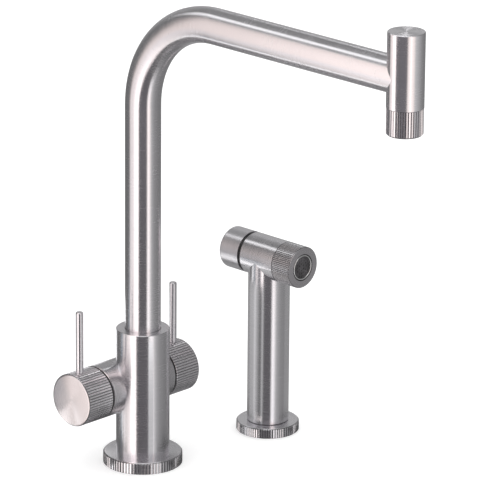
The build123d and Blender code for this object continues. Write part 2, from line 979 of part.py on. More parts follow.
def valve_stem():
    """Screwed into the cap's boss; its front end carries the rubber disc between two shoulders."""
    return head_place * turned(
        (0, stem_front),
        (stem_head_radius, stem_front),
        (stem_head_radius, disc_front),
        (stem_neck_radius, disc_front),
        (stem_neck_radius, disc_back),
        (stem_radius, disc_back),
        (stem_radius, cap_inner_face),
        (0, cap_inner_face),
    )


def valve_disc():
    inner = stem_neck_radius + fixed_gap
    return head_place * ring(valve_disc_radius, inner, disc_front, disc_back)


def return_spring():
    """Compression spring between the guide's floor and the inside of the cap."""
    low = head_back + spring_wire / 2 + fixed_gap
    high = cap_inner_face - spring_wire / 2 - fixed_gap
    pitch = (high - low) / spring_turns
    coil = Helix(pitch=pitch, height=high - low, radius=spring_radius)
    section = Plane(origin=coil @ 0, z_dir=coil % 0) * RegularPolygon(spring_wire / 2, 8)
    return head_place * (Pos(0, 0, low) * sweep(section, path=coil))


# ---------------------------------------------------------------- write every node
save("base_flange", base_flange())
save("base_gasket", gasket(base_gasket_radius))
save("inlet_manifold", inlet_manifold())
save("manifold_seal", manifold_seal())
save("mixer_body", mixer_body())
save("diverter_body", diverter_body())
save("diverter_poppet", diverter_poppet())
save("diverter_seal", diverter_seal())

save("spout_glide_ring", spout_glide_ring())
save("spout_retaining_screw", spout_retaining_screw())
save("spout_foot", spout_foot())
save("spout_seals", spout_seals())
save("spout_tube", spout_tube())
save("spout_outlet", spout_outlet())
save("aerator_collar", aerator_collar())
save("aerator_insert", aerator_insert())
save("aerator_washer", aerator_washer())

for name, side in SIDES.items():
    place = valve_place(side)
    save(f"{name}_cartridge_body", place * cartridge_body())
    save(f"{name}_fixed_disc", place * fixed_disc())
    save(f"{name}_moving_disc", place * moving_disc())
    save(f"{name}_spindle", place * spindle())
    save(f"{name}_glide_ring", place * glide_ring())
    save(f"{name}_knob", place * knob())
    save(f"{name}_lever", place * lever())
    save(f"{name}_knob_screw", place * knob_screw())

seat_seal = ring(valve_bore - fixed_gap, seat_seal_bore, seat_face, seat_face + seat_seal_thickness)
cartridge_ring = sealing_ring(
    valve_bore - fixed_gap, cartridge_ring_floor + fixed_gap, small_ring_thickness,
    cartridge_ring_height,
)
both = [valve_place(side) for side in SIDES.values()]
save("valve_seat_seals", Compound(children=[place * seat_seal for place in both]))
save("cartridge_rings", Compound(children=[place * cartridge_ring for place in both]))

save("spray_flange", spray_flange())
save("spray_gasket", spray_place * gasket(spray_gasket_radius))
save("spray_holder", spray_holder())
save("spray_column", spray_column())
save("dock_sleeve", dock_sleeve())
save("hose_inlet", hose_inlet())
save("riser_tube", riser_tube())
save("spray_head", spray_head())
save("valve_housing", valve_housing())
save("valve_plug", valve_plug())
save("stem_seal", stem_seal())
save("nozzle_collar", nozzle_collar())
save("nozzle_bezel", nozzle_bezel())
save("spray_face", spray_face())
save("face_seal", face_seal())
save("button_guide", button_guide())
save("push_cap", push_cap())
save("valve_stem", valve_stem())
save("valve_disc", valve_disc())
save("return_spring", return_spring())
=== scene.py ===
import json
import math

import bmesh
import bpy
import numpy as np
from mathutils import Matrix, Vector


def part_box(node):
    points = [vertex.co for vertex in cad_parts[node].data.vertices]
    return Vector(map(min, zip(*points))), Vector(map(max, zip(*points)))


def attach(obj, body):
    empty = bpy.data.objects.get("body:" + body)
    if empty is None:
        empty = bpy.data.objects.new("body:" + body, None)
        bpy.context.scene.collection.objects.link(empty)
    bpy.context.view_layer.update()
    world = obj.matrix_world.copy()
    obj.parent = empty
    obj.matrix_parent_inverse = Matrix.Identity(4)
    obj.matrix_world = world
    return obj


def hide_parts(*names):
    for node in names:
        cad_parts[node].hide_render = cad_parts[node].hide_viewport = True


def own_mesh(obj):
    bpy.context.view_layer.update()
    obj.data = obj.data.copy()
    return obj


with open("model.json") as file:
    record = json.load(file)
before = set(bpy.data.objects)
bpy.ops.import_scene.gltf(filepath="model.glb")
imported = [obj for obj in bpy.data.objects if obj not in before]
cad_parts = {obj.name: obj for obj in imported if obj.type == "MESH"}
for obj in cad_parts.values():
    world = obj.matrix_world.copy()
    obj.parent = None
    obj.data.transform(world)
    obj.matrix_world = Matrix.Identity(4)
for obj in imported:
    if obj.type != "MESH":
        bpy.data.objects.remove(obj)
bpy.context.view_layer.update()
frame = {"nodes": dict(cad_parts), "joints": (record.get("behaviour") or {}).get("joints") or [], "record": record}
nodes = frame["nodes"]


# ---------------------------------------------------------------------------------------
# The camera: a long lens at the front left of the object, looking down on it by 18 degrees.
# Angles, distance and offsets were fitted to edges of the object in the photograph.
# ---------------------------------------------------------------------------------------
camera_azimuth = math.radians(-46.081)
camera_elevation = math.radians(18.28)
camera_roll = math.radians(0.457)
camera_distance = 3.6083
camera_offset = (0.076578, 0.173805)        # right and up of the object's origin
camera_lens = 343.597                       # millimetres, as is its sensor's width
camera_sensor = 36.0

cos_azimuth, sin_azimuth = math.cos(camera_azimuth), math.sin(camera_azimuth)
cos_elevation, sin_elevation = math.cos(camera_elevation), math.sin(camera_elevation)
cos_roll, sin_roll = math.cos(camera_roll), math.sin(camera_roll)
towards_camera = np.array([sin_azimuth * cos_elevation, -cos_azimuth * cos_elevation, sin_elevation])
level_right = np.array([cos_azimuth, sin_azimuth, 0.0])
level_up = np.cross(towards_camera, level_right)
camera_right = cos_roll * level_right + sin_roll * level_up
camera_up = cos_roll * level_up - sin_roll * level_right
camera_place = (
    camera_distance * towards_camera
    + camera_offset[0] * camera_right
    + camera_offset[1] * camera_up
)
camera_data = bpy.data.cameras.new("long_lens")
camera_data.sensor_width = camera_sensor
camera_data.lens = camera_lens
camera = bpy.data.objects.new("camera", camera_data)
pose = np.eye(4)
pose[:3, 0], pose[:3, 1], pose[:3, 2] = camera_right, camera_up, towards_camera
pose[:3, 3] = camera_place
camera.matrix_world = Matrix(pose.tolist())
bpy.context.scene.collection.objects.link(camera)
bpy.context.scene.camera = camera
bpy.context.scene.view_settings.view_transform = "Standard"


# ---------------------------------------------------------------------------------------
# The studio: a plain white floor under even white light, as in a light tent. The floor
# shows a little whiter to the camera than the light makes it, and keeps its shadow.
# ---------------------------------------------------------------------------------------
def add_node(tree, kind, inputs=(), **settings):
    """Adds a node; inputs are (socket, value or linked output) pairs, settings its properties."""
    node = tree.nodes.new(kind)
    for name, value in settings.items():
        setattr(node, name, value)
    for socket, value in inputs:
        if isinstance(value, bpy.types.NodeSocket):
            tree.links.new(value, node.inputs[socket])
        else:
            node.inputs[socket].default_value = value
    return node


def math_node(tree, operation, *values):
    """One arithmetic node's result."""
    return add_node(tree, "ShaderNodeMath", enumerate(values), operation=operation).outputs[0]


def grid_mesh(name, points, closed_u=False, closed_v=False, colours=None):
    """Mesh of quads over a grid of points [u, v, xyz]; a closed direction joins its last
    line to its first. Colours are given for each point."""
    count_u, count_v = points.shape[:2]
    u = np.arange(count_u if closed_u else count_u - 1)
    v = np.arange(count_v if closed_v else count_v - 1)
    u, v = [a.ravel() for a in np.meshgrid(u, v, indexing="ij")]
    u2, v2 = (u + 1) % count_u, (v + 1) % count_v
    quads = np.stack([u * count_v + v, u2 * count_v + v, u2 * count_v + v2, u * count_v + v2], -1)
    mesh = bpy.data.meshes.new(name)
    mesh.from_pydata(points.reshape(-1, 3).tolist(), [], quads.tolist())
    if colours is not None:
        layer = mesh.color_attributes.new("glow", "FLOAT_COLOR", "POINT")
        layer.data.foreach_set("color", colours.reshape(-1, 4).astype(np.float32).ravel())
    thing = bpy.data.objects.new(name, mesh)
    bpy.context.scene.collection.objects.link(thing)
    return thing


def level_corners(corner, far_corner, height):
    """Points of a level rectangle between two plan corners, facing up."""
    points = np.zeros((2, 2, 3))
    points[..., 0], points[..., 1] = np.meshgrid(
        [corner[0], far_corner[0]], [corner[1], far_corner[1]], indexing="ij"
    )
    points[..., 2] = height
    return points


floor_half = 6.0
floor_colour = (0.985, 0.985, 0.985, 1.0)
floor_lift = 0.28                           # added to the floor for the camera alone
even_light = 1.0
white = (1.0, 1.0, 1.0, 1.0)

floor = grid_mesh("floor", level_corners((-floor_half, -floor_half), (floor_half, floor_half), 0.0))
floor_paint = bpy.data.materials.new("floor_paint")
floor_paint.use_nodes = True
floor_shader = floor_paint.node_tree.nodes["Principled BSDF"]
floor_shader.inputs["Base Color"].default_value = floor_colour
floor_shader.inputs["Roughness"].default_value = 1.0
floor_shader.inputs["Specular IOR Level"].default_value = 0.0
floor_shader.inputs["Emission Color"].default_value = white
rays = add_node(floor_paint.node_tree, "ShaderNodeLightPath")
lift = math_node(floor_paint.node_tree, "MULTIPLY", rays.outputs["Is Camera Ray"], floor_lift)
floor_paint.node_tree.links.new(lift, floor_shader.inputs["Emission Strength"])
floor.data.materials.append(floor_paint)
floor.visible_glossy = False

world = bpy.data.worlds.new("light_tent")
bpy.context.scene.world = world
world.use_nodes = True
world.cycles.sampling_method = "NONE"
tent = world.node_tree.nodes["Background"]
tent.inputs["Color"].default_value = white
tent.inputs["Strength"].default_value = even_light


# ---------------------------------------------------------------------------------------
# Reflector cards, which only reflections show, give the steel its light and dark bands: a
# ring with a dark gap where the camera stands, grey walls, white strips overhead, and small
# ones close to the body, the hand spray and the deck.
# ---------------------------------------------------------------------------------------
def card_paint(name, one_way=False):
    """Light in the colours of a card's points. One way, a card is clear from behind."""
    paint = bpy.data.materials.new(name)
    paint.use_nodes = True
    tree = paint.node_tree
    tree.nodes.clear()
    glow = add_node(tree, "ShaderNodeVertexColor", layer_name="glow").outputs["Color"]
    shown = add_node(tree, "ShaderNodeEmission", [("Color", glow), ("Strength", 1.0)])
    if one_way:
        behind = add_node(tree, "ShaderNodeNewGeometry").outputs["Backfacing"]
        clear = add_node(tree, "ShaderNodeBsdfTransparent")
        shown = add_node(
            tree, "ShaderNodeMixShader", [(0, behind), (1, shown.outputs[0]), (2, clear.outputs[0])]
        )
    add_node(tree, "ShaderNodeOutputMaterial", [("Surface", shown.outputs[0])])
    return paint


def stage_card(name, points, colours, paint):
    """Stages one card that only glossy rays see."""
    card = grid_mesh(name, points, colours=colours)
    card.data.materials.append(paint)
    card.visible_camera = False
    card.visible_diffuse = False
    card.visible_shadow = False
    card.visible_transmission = False


both_ways = card_paint("card_paint")
one_way = card_paint("one_way_paint", one_way=True)
plan_steps, height_steps = 96, 64
no_tint = [(0.0, (1.0, 1.0, 1.0))]
no_band = [(0.0, 1.0)]


def standing_card(name, plan, levels, low, high, tints=no_tint, bands=no_band, paint=both_ways):
    """A wall on a curve of plan points (x, y). levels is its brightness, one number or one for
    each point. Bands of (height, factor) change it with height, tints of (height, colour) its
    colour. One way, it shows to the right-hand side of someone who walks along the curve."""
    plan = np.array(plan, float)
    levels = np.broadcast_to(np.array(levels, float), len(plan))
    given = np.arange(len(plan))
    along = np.linspace(0, len(plan) - 1, plan_steps)
    z = np.linspace(low, high, height_steps)
    points = np.zeros((plan_steps, height_steps, 3))
    points[..., 0] = np.interp(along, given, plan[:, 0])[:, None]
    points[..., 1] = np.interp(along, given, plan[:, 1])[:, None]
    points[..., 2] = z[None, :]
    level = np.interp(along, given, levels)[:, None] * np.interp(z, *zip(*bands))[None, :]
    colours = np.ones((plan_steps, height_steps, 4))
    for channel in range(3):
        tint = np.interp(z, [height for height, _ in tints], [colour[channel] for _, colour in tints])
        colours[..., channel] = level * tint[None, :]
    stage_card(name, points, colours, paint)


def round_card(name, start, end, levels, low, high, centre=(0.0, 0.0), count=24, **look):
    """A wall on a curve between two (radius, degrees) pairs about a centre. levels is its
    brightness, one number or (degrees, number) pairs."""
    radius = np.linspace(start[0], end[0], count)
    degrees = np.linspace(start[1], end[1], count)
    angle = np.radians(degrees)
    plan = np.stack([centre[0] + radius * np.cos(angle), centre[1] + radius * np.sin(angle)], -1)
    if isinstance(levels, list):
        levels = np.interp(degrees, *zip(*levels))
    standing_card(name, plan, levels, low, high, **look)


# the ring, from the back left past the camera to the front, and narrow ones before it; its
# brightness rises and falls as the bands on the photographed body and spout do
ring_low = -0.34
gap_left, gap_right = (0.420, 197), (0.551, 248.2)
left_levels = [
    (129, 0.20), (134, 0.50), (139, 0.97), (145, 1.00), (149, 0.86), (153, 0.86), (157, 1.02),
    (164, 1.10), (170, 1.3), (176, 1.6), (197, 1.6),
]
right_levels = [
    (248.2, 0.35), (251, 0.85), (255, 1.17), (259, 1.17), (260, 1.5), (261.5, 1.6), (263, 1.3),
    (264, 1.15), (267, 1.15), (270, 1.0), (274, 0.8),
]
left_tints = [(0.0, (1.06, 0.985, 0.955)), (0.14, (1.04, 0.985, 0.985)), (0.28, (1.10, 0.98, 0.935))]
right_tints = [(-0.1, (1.0, 0.99, 1.0)), (0.1, (1.08, 0.985, 0.94))]
round_card("left_card", (0.345, 129), gap_left, left_levels, ring_low, 0.78, tints=left_tints)
round_card(
    "dark_gap", gap_left, gap_right, 0.14, ring_low, 1.0,
    tints=[(0.0, (0.985, 0.94, 1.0))], bands=[(-0.2, 0.88), (0.05, 1.0), (0.2, 1.35)],
)
round_card(
    "right_card", gap_right, (0.552, 274), right_levels, ring_low, 0.8, tints=right_tints, count=48
)
round_card(
    "knob_shade", (0.335, 120), (0.337, 133), 0.36, -0.08, 0.05, tints=[(0.0, (0.88, 1.0, 1.12))]
)
round_card("left_line_2", (0.336, 126), (0.336, 131.5), 2.2, ring_low, -0.084)
round_card("left_line", (0.338, 139.6), (0.338, 143.6), 1.4, -0.30, -0.05)

# the walls, from the front round the right to the back left, and the lights before them
wall_low, wall_high = -0.8, 2.4
right_wall = [
    (0.038, -0.552), (0.146, -0.460), (0.310, -0.478), (0.740, -0.430), (0.900, -0.150), (0.900, 0.150)
]
back_wall = [(0.900, 0.150), (0.800, 0.500), (0.520, 0.760), (0.200, 0.880)]
corner_wall = [(0.200, 0.880), (-0.150, 0.900), (-0.529, 0.728), (-0.535, 0.720), (-0.700, 0.500)]
back_bands = [(0.10, 1.0), (0.30, 2.0), (0.75, 2.0), (1.1, 1.1), (1.3, 1.0)]
standing_card("right_wall", right_wall, [0.66, 0.42, 0.30, 0.24, 0.22, 0.22], wall_low, wall_high)
standing_card("back_wall", back_wall, [0.22, 0.24, 0.20, 0.17], wall_low, wall_high, bands=back_bands)
standing_card("corner_wall", corner_wall, [0.17, 0.17, 0.20, 0.24, 0.28], wall_low, wall_high)
standing_card("corner_strip", [(-0.34, 0.82), (-0.07, 0.88)], 1.35, 0.93, 2.0)
standing_card("back_light", [(0.700, 0.420), (0.640, 0.560), (0.520, 0.700)], 0.45, -0.55, 0.16)
standing_card("low_light", [(-0.66, 0.26), (-0.52, 0.50), (-0.34, 0.65)], 1.3, -0.50, -0.30)
standing_card("low_light_2", [(-0.34, 0.65), (-0.08, 0.79)], 1.3, -0.60, -0.345)
standing_card("streak_card", [(0.766, 0.373), (0.682, 0.461)], 3.0, 1.03, 1.60)

# close to the body: under the barrel's left end, and in front of the body
body_front_bands = [(0.03, 0.64), (0.06, 0.70), (0.085, 0.88), (0.10, 1.1)]
standing_card(
    "knob_under_card", [(-0.0268, 0.040), (-0.0268, -0.020)], 0.09, 0.016, 0.042, paint=one_way
)
standing_card(
    "body_front_card", [(-0.0155, -0.029), (-0.008, -0.029)], 1.0, -0.02, 0.105,
    bands=body_front_bands,
)

# close to the hand spray: round its column, behind it and to its right
mounts = {mount["name"]: mount for mount in frame["record"]["mounts"]}
spray_axis = tuple(mounts["spray_shank"]["pos_m"])
spray_ring_radius = 0.036
spray_ring_start, spray_ring_end = 205.2, 120.9         # degrees, as in the levels
spray_ring_levels = [
    (120.9, 0.43), (138.3, 0.47), (150.2, 0.48), (155.1, 0.58), (159.3, 0.8), (164.2, 0.56),
    (169.0, 0.46), (177.8, 0.3), (185.7, 0.14), (191.2, 0.28), (196.7, 0.62), (200.6, 0.3),
    (205.2, 0.14),
]
behind_spray = 0.105
spray_right = [(0.1465, -0.0525), (0.158, -0.053), (0.166, -0.040), (0.168, -0.020)]
round_card(
    "spray_ring_card", (spray_ring_radius, spray_ring_start), (spray_ring_radius, spray_ring_end),
    spray_ring_levels, 0.0045, 0.120, centre=spray_axis, count=72,
    bands=[(0.0, 0.92), (0.12, 1.08)], paint=one_way,
)
standing_card("spray_back_card", [(0.040, behind_spray), (0.090, behind_spray)], 0.26, -0.02, 0.03)
standing_card(
    "spray_back_card_2", [(0.090, behind_spray), (0.165, behind_spray)], [0.34, 0.37], -0.02, 0.14
)
standing_card(
    "cap_light", [(0.006, behind_spray), (0.052, behind_spray)], 1.3, 0.045, 0.098, paint=one_way
)
standing_card("spray_right_card", spray_right, 0.33, -0.004, 0.125)


def level_card(name, corner, far_corner, height, level):
    """A level card between two plan corners."""
    colours = np.ones((2, 2, 4))
    colours[..., :3] = level
    stage_card(name, level_corners(corner, far_corner, height), colours, both_ways)


above_deck = 0.0006
deck_shades = [
    ((-0.055, 0.010), (-0.012, 0.052), 0.14),       # left of the mixer's base, and behind
    ((0.006, -0.056), (0.056, -0.010), 0.08),       # right of it, and in front
    ((0.080, -0.004), (0.122, 0.026), 0.10),        # left of the hand spray's base, and behind
    ((0.128, -0.062), (0.166, -0.020), 0.08),       # right of it, and in front
]
level_card("overhead_strip", (-0.50, -0.60), (-0.12, 1.40), 1.50, 1.4)
for number, (corner, far_corner, level) in enumerate(deck_shades, start=1):
    level_card(f"deck_shade_{number}", corner, far_corner, above_deck, level)
level_card("under_card", (-1.5, -1.5), (1.5, 1.5), -0.80, 0.18)


# ---------------------------------------------------------------------------------------
# Mixer body: a stainless round bar turned on a lathe, with the valve barrel welded across
# it behind its axis and the seam dressed flush. Fine marks run round both.
# ---------------------------------------------------------------------------------------
NUMBER = "NodeSocketFloat"
VECTOR = "NodeSocketVector"


def new_group(name, inputs, outputs):
    """A shader group with named sockets, and its input and output nodes."""
    group = bpy.data.node_groups.new(name, "ShaderNodeTree")
    for label, kind in inputs:
        group.interface.new_socket(name=label, in_out="INPUT", socket_type=kind)
    for label, kind in outputs:
        group.interface.new_socket(name=label, in_out="OUTPUT", socket_type=kind)
    return group, group.nodes.new("NodeGroupInput"), group.nodes.new("NodeGroupOutput")


def noise(tree, place, scale, detail, roughness):
    """Noise about 0.5 at each place."""
    return add_node(tree, "ShaderNodeTexNoise", [
        ("Vector", place), ("Scale", scale), ("Detail", detail), ("Roughness", roughness),
    ]).outputs["Fac"]


def vector_math(tree, operation, *values):
    """One vector node's result."""
    node = add_node(tree, "ShaderNodeVectorMath", enumerate(values), operation=operation)
    return node.outputs["Value" if operation == "LENGTH" else "Vector"]


def ramp(tree, value, low, high, to_low=0.0, to_high=1.0):
    """A value spread from one range to another."""
    return add_node(
        tree, "ShaderNodeMapRange", [(0, value), (1, low), (2, high), (3, to_low), (4, to_high)]
    ).outputs[0]


def varied(tree, middle, wide, wide_half, narrow, narrow_half, low=0.3, high=0.7):
    """A middle value that two noises move up and down; most of each lies from low to high."""
    return math_node(
        tree, "ADD",
        ramp(tree, wide, low, high, middle - wide_half, middle + wide_half),
        ramp(tree, narrow, low, high, -narrow_half, narrow_half),
    )


def turning_marks():
    """Group: marks that run round Z on round and on flat faces, and drift slowly along their
    way; clouds of a few centimetres; and the distance from Z."""
    marks_drift = 1.2       # how much the marks change round one turn
    face_pitch = 1.37       # marks on a flat face, against those on a round one
    least_radius = 0.0002
    tree, given, result = new_group(
        "turning_marks",
        [("Place", VECTOR), ("Marks per metre", NUMBER)],
        [("Marks", NUMBER), ("Cloud", NUMBER), ("Radius", NUMBER)],
    )
    x, y, z = add_node(tree, "ShaderNodeSeparateXYZ", [(0, given.outputs["Place"])]).outputs
    x_square = math_node(tree, "MULTIPLY", x, x)
    y_square = math_node(tree, "MULTIPLY", y, y)
    radius = math_node(tree, "SQRT", math_node(tree, "ADD", x_square, y_square))
    safe = math_node(tree, "MAXIMUM", radius, least_radius)
    across = math_node(tree, "MULTIPLY_ADD", radius, face_pitch, z)
    flow = add_node(tree, "ShaderNodeCombineXYZ", [
        (0, math_node(tree, "MULTIPLY", math_node(tree, "DIVIDE", x, safe), marks_drift)),
        (1, math_node(tree, "MULTIPLY", math_node(tree, "DIVIDE", y, safe), marks_drift)),
        (2, math_node(tree, "MULTIPLY", across, given.outputs["Marks per metre"])),
    ]).outputs[0]
    line = noise(tree, flow, scale=1.0, detail=5.0, roughness=0.62)
    cloud = noise(tree, given.outputs["Place"], scale=45.0, detail=3.0, roughness=0.55)
    tree.links.new(line, result.inputs["Marks"])
    tree.links.new(cloud, result.inputs["Cloud"])
    tree.links.new(radius, result.inputs["Radius"])
    return tree


marks_group = turning_marks()
steel_colour = (0.799, 0.785, 0.813)
axis_turns = {
    "X": (0.0, -math.pi / 2, 0.0), "Y": (math.pi / 2, 0.0, 0.0), "Z": (0.0, 0.0, 0.0),
}
axis_vectors = {"X": (1.0, 0.0, 0.0), "Y": (0.0, 1.0, 0.0), "Z": (0.0, 0.0, 1.0)}


def axis_place(tree, own, centre, axis):
    """Object coordinates with the centre moved to zero and the axis turned to Z."""
    moved = vector_math(tree, "SUBTRACT", own, centre)
    return add_node(
        tree, "ShaderNodeMapping", [("Vector", moved), ("Rotation", axis_turns[axis])],
        vector_type="POINT",
    ).outputs[0]


def round_about(tree, own, centre, axis):
    """The direction round an axis at each point, in the object's own space."""
    return vector_math(
        tree, "CROSS_PRODUCT", axis_vectors[axis], vector_math(tree, "SUBTRACT", own, centre)
    )


def either_vector(tree, choice, first, second):
    """first where choice is 0, second where it is 1."""
    first_vector, second_vector, mixed_vector = 4, 5, 1
    return add_node(
        tree, "ShaderNodeMix",
        [("Factor", choice), (first_vector, first), (second_vector, second)],
        data_type="VECTOR",
    ).outputs[mixed_vector]


def bump(tree, height, distance):
    """A bump node for a height."""
    return add_node(
        tree, "ShaderNodeBump", [("Height", height), ("Distance", distance), ("Strength", 1.0)]
    )


def bowed_height(tree, radius, bow, rim):
    """Height of a face that bows out: it falls by bow times its radius squared, and beyond
    the rim, a radius and a slope, by that slope as well."""
    rim_radius, rim_slope = rim
    fall = math_node(tree, "MULTIPLY", math_node(tree, "MULTIPLY", radius, radius), -bow)
    past_rim = math_node(tree, "MAXIMUM", math_node(tree, "SUBTRACT", radius, rim_radius), 0.0)
    return math_node(tree, "MULTIPLY_ADD", past_rim, -rim_slope, fall)


def machined(name, place_of, grain_of, tone=steel_colour, roughness=0.25, grain=0.85,
             marks=2500.0, mottle=0.05, rotation=0.25, knurl=None, groove=0.22, face=None,
             bow=0.0, rim=None, painted_shade_of=None):
    """Metal with machining marks. place_of gives the marks' coordinates and grain_of the
    direction of the grain, both from the object's own coordinates. Painted shade darkens
    knurled grooves: two radii give the grooves' floor and their crests, and a factor the
    painted shade on the tone at that floor. face is a factor of painted light and tint inside
    that radius, and bow and rim bow that face out as bowed_height says. The last argument
    gives a painted shade, one more factor on the tone, from the object's own coordinates."""
    marks_depth = 1.5e-6
    cloud_share = 0.4           # of the marks' own mottle
    rough_marks, rough_clouds = 0.03, 0.02
    face_gap = 5e-5             # between a face's edge and the grooves' floor
    paint = bpy.data.materials.new(name)
    paint.use_nodes = True
    tree = paint.node_tree
    shader = tree.nodes["Principled BSDF"]
    shader.inputs["Metallic"].default_value = 1.0
    shader.inputs["Anisotropic"].default_value = grain
    shader.inputs["Anisotropic Rotation"].default_value = rotation
    own = add_node(tree, "ShaderNodeTexCoord").outputs["Object"]
    pattern = add_node(
        tree, "ShaderNodeGroup", [("Place", place_of(tree, own)), ("Marks per metre", marks)],
        node_tree=marks_group,
    )
    line, cloud, radius = pattern.outputs
    shade = varied(tree, 1.0, line, mottle, cloud, cloud_share * mottle)
    # painted shade: the knurled grooves get darker towards their floor
    if knurl:
        floor_radius, crest_radius = knurl
        on_face = math_node(tree, "LESS_THAN", radius, floor_radius - face_gap)
        in_groove = ramp(tree, radius, floor_radius, crest_radius, groove, 1.0)
        shade = math_node(tree, "MULTIPLY", shade, math_node(tree, "MAXIMUM", in_groove, on_face))
    # painted shade: one more darkening factor on the tone
    if painted_shade_of:
        shade = math_node(tree, "MULTIPLY", shade, painted_shade_of(tree, own))
    colour = add_node(
        tree, "ShaderNodeVectorMath", [(0, tone), ("Scale", shade)], operation="SCALE"
    ).outputs[0]
    # painted light: the face factor tints and lightens the face inside the grooves' floor
    if face:
        colour = either_vector(tree, on_face, colour, vector_math(tree, "MULTIPLY", colour, face))
    tree.links.new(colour, shader.inputs["Base Color"])
    rough = varied(tree, roughness, line, rough_marks, cloud, rough_clouds)
    tree.links.new(rough, shader.inputs["Roughness"])
    skin = bump(tree, line, marks_depth)
    if bow:
        bowed = bump(tree, bowed_height(tree, radius, bow, rim), 1.0)
        tree.links.new(bowed.outputs[0], skin.inputs["Normal"])
    tree.links.new(skin.outputs[0], shader.inputs["Normal"])
    tangent = add_node(
        tree, "ShaderNodeVectorTransform", [(0, grain_of(tree, own))],
        vector_type="VECTOR", convert_from="OBJECT", convert_to="WORLD",
    )
    tree.links.new(tangent.outputs[0], shader.inputs["Tangent"])
    return paint


def dress(name, paint):
    """Puts a material on a solid of the frame."""
    solid = nodes[name]
    solid.data.materials.clear()
    solid.data.materials.append(paint)


body_axis = (0.0, 0.0, 0.0)
joints = {joint["name"]: joint for joint in frame["joints"]}
barrel_axis = tuple(joints["left_handle_turn"]["pos_m"])
body_radius = 0.021
barrel_from = body_radius + 0.00015     # farther from the body's axis, all is barrel
barrel_painted_shade = 0.78                      # painted shade: factor on the barrel's tone, clear of the body


def from_axis(tree, own):
    """Distance from the body's axis."""
    return vector_math(tree, "LENGTH", vector_math(tree, "MULTIPLY", own, (1.0, 1.0, 0.0)))


def on_barrel(tree, own):
    """1 outside the body's own round bar, which is only on the valve barrel."""
    return math_node(tree, "GREATER_THAN", from_axis(tree, own), barrel_from)


def body_marks(tree, own):
    """Coordinates of the marks, about the body's axis or the barrel's."""
    return either_vector(tree, on_barrel(tree, own), own, axis_place(tree, own, barrel_axis, "X"))


def body_grain(tree, own):
    """Direction of the marks, round the body's axis or the barrel's."""
    return either_vector(
        tree, on_barrel(tree, own),
        round_about(tree, own, body_axis, "Z"), round_about(tree, own, barrel_axis, "X"),
    )


def painted_barrel_shade(tree, own):
    """Painted shade that darkens the barrel: goes from the body's tone to a darker one across the fold between
    them.
    """
    fold_start, fold_end = body_radius - 0.0001, body_radius + 0.0025
    return ramp(tree, from_axis(tree, own), fold_start, fold_end, 1.0, barrel_painted_shade)


# the barrel is painted darker than the body: painted shade
dress("mixer_body", machined("body_steel", body_marks, body_grain, painted_shade_of=painted_barrel_shade))


# ---------------------------------------------------------------------------------------
# Base flange: a turned disc with a straight knurl round its rim, pressed under the body.
# ---------------------------------------------------------------------------------------
def turned(name, centre, axis, **finish):
    """Metal turned about one axis."""
    return machined(
        name,
        lambda tree, own: axis_place(tree, own, centre, axis),
        lambda tree, own: round_about(tree, own, centre, axis),
        **finish,
    )


def groove_radii(rim_radius, floor_depth=0.00055, crest_depth=0.0001):
    """Radii between which the painted shade of knurled grooves goes from darkest to none."""
    return rim_radius - floor_depth, rim_radius - crest_depth


# painted shade darkens the grooves of the knurled rim
dress("base_flange", turned(
    "base_flange_steel", body_axis, "Z", knurl=groove_radii(rim_radius=0.0312)
))


# ---------------------------------------------------------------------------------------
# Rubber and plastic pieces under and inside the mixer: a ring gasket in the flange's
# groove, and the seals of its waterways. Moulded skins, a little dusty with mould release.
# ---------------------------------------------------------------------------------------
def moulded_skin():
    """Group: the fine grain of a moulded skin, and clouds of a few millimetres."""
    tree, given, result = new_group(
        "moulded_skin",
        [("Place", VECTOR), ("Grain per metre", NUMBER)],
        [("Grain", NUMBER), ("Cloud", NUMBER)],
    )
    place = given.outputs["Place"]
    speck = noise(tree, place, scale=given.outputs["Grain per metre"], detail=4.0, roughness=0.6)
    cloud = noise(tree, place, scale=160.0, detail=3.0, roughness=0.5)
    tree.links.new(speck, result.inputs["Grain"])
    tree.links.new(cloud, result.inputs["Cloud"])
    return tree


skin_group = moulded_skin()


def moulded(name, colour, dusty, roughness=0.5, grain=2600.0, depth=6e-6, spread=0.06):
    """Moulded rubber, plastic or pressed ceramic: its colour drifts towards a dusty one in
    patches, and a fine grain moves its gloss and its surface."""
    cloud_dust, speck_dust = 0.75, 0.25         # their shares in the drift to dusty
    first_colour, second_colour, mixed_colour = 6, 7, 2
    paint = bpy.data.materials.new(name)
    paint.use_nodes = True
    tree = paint.node_tree
    shader = tree.nodes["Principled BSDF"]
    own = add_node(tree, "ShaderNodeTexCoord").outputs["Object"]
    speck, cloud = add_node(
        tree, "ShaderNodeGroup", [("Place", own), ("Grain per metre", grain)], node_tree=skin_group
    ).outputs
    dust = math_node(
        tree, "ADD",
        ramp(tree, cloud, 0.42, 0.68, 0.0, cloud_dust), ramp(tree, speck, 0.4, 0.7, 0.0, speck_dust),
    )
    blend = add_node(
        tree, "ShaderNodeMix",
        [("Factor", dust), (first_colour, (*colour, 1.0)), (second_colour, (*dusty, 1.0))],
        data_type="RGBA",
    )
    tree.links.new(blend.outputs[mixed_colour], shader.inputs["Base Color"])
    rough = varied(tree, roughness, cloud, spread, speck, 0.5 * spread, low=0.35, high=0.65)
    tree.links.new(rough, shader.inputs["Roughness"])
    tree.links.new(bump(tree, speck, depth).outputs[0], shader.inputs["Normal"])
    return paint


def dress_all(names, paint):
    """One material on several solids."""
    for name in names:
        dress(name, paint)


gasket_rubber = moulded(
    "gasket_rubber", (0.016, 0.016, 0.017), (0.050, 0.050, 0.052), roughness=0.62
)
seal_rubber = moulded(
    "seal_rubber", (0.010, 0.010, 0.011), (0.028, 0.028, 0.030), roughness=0.38, grain=3600.0,
    depth=3e-6,
)
dress_all(("base_gasket", "spray_gasket"), gasket_rubber)
dress_all(
    ("manifold_seal", "spout_seals", "valve_seat_seals", "cartridge_rings", "diverter_seal",
     "aerator_washer", "face_seal", "stem_seal", "valve_disc"),
    seal_rubber,
)


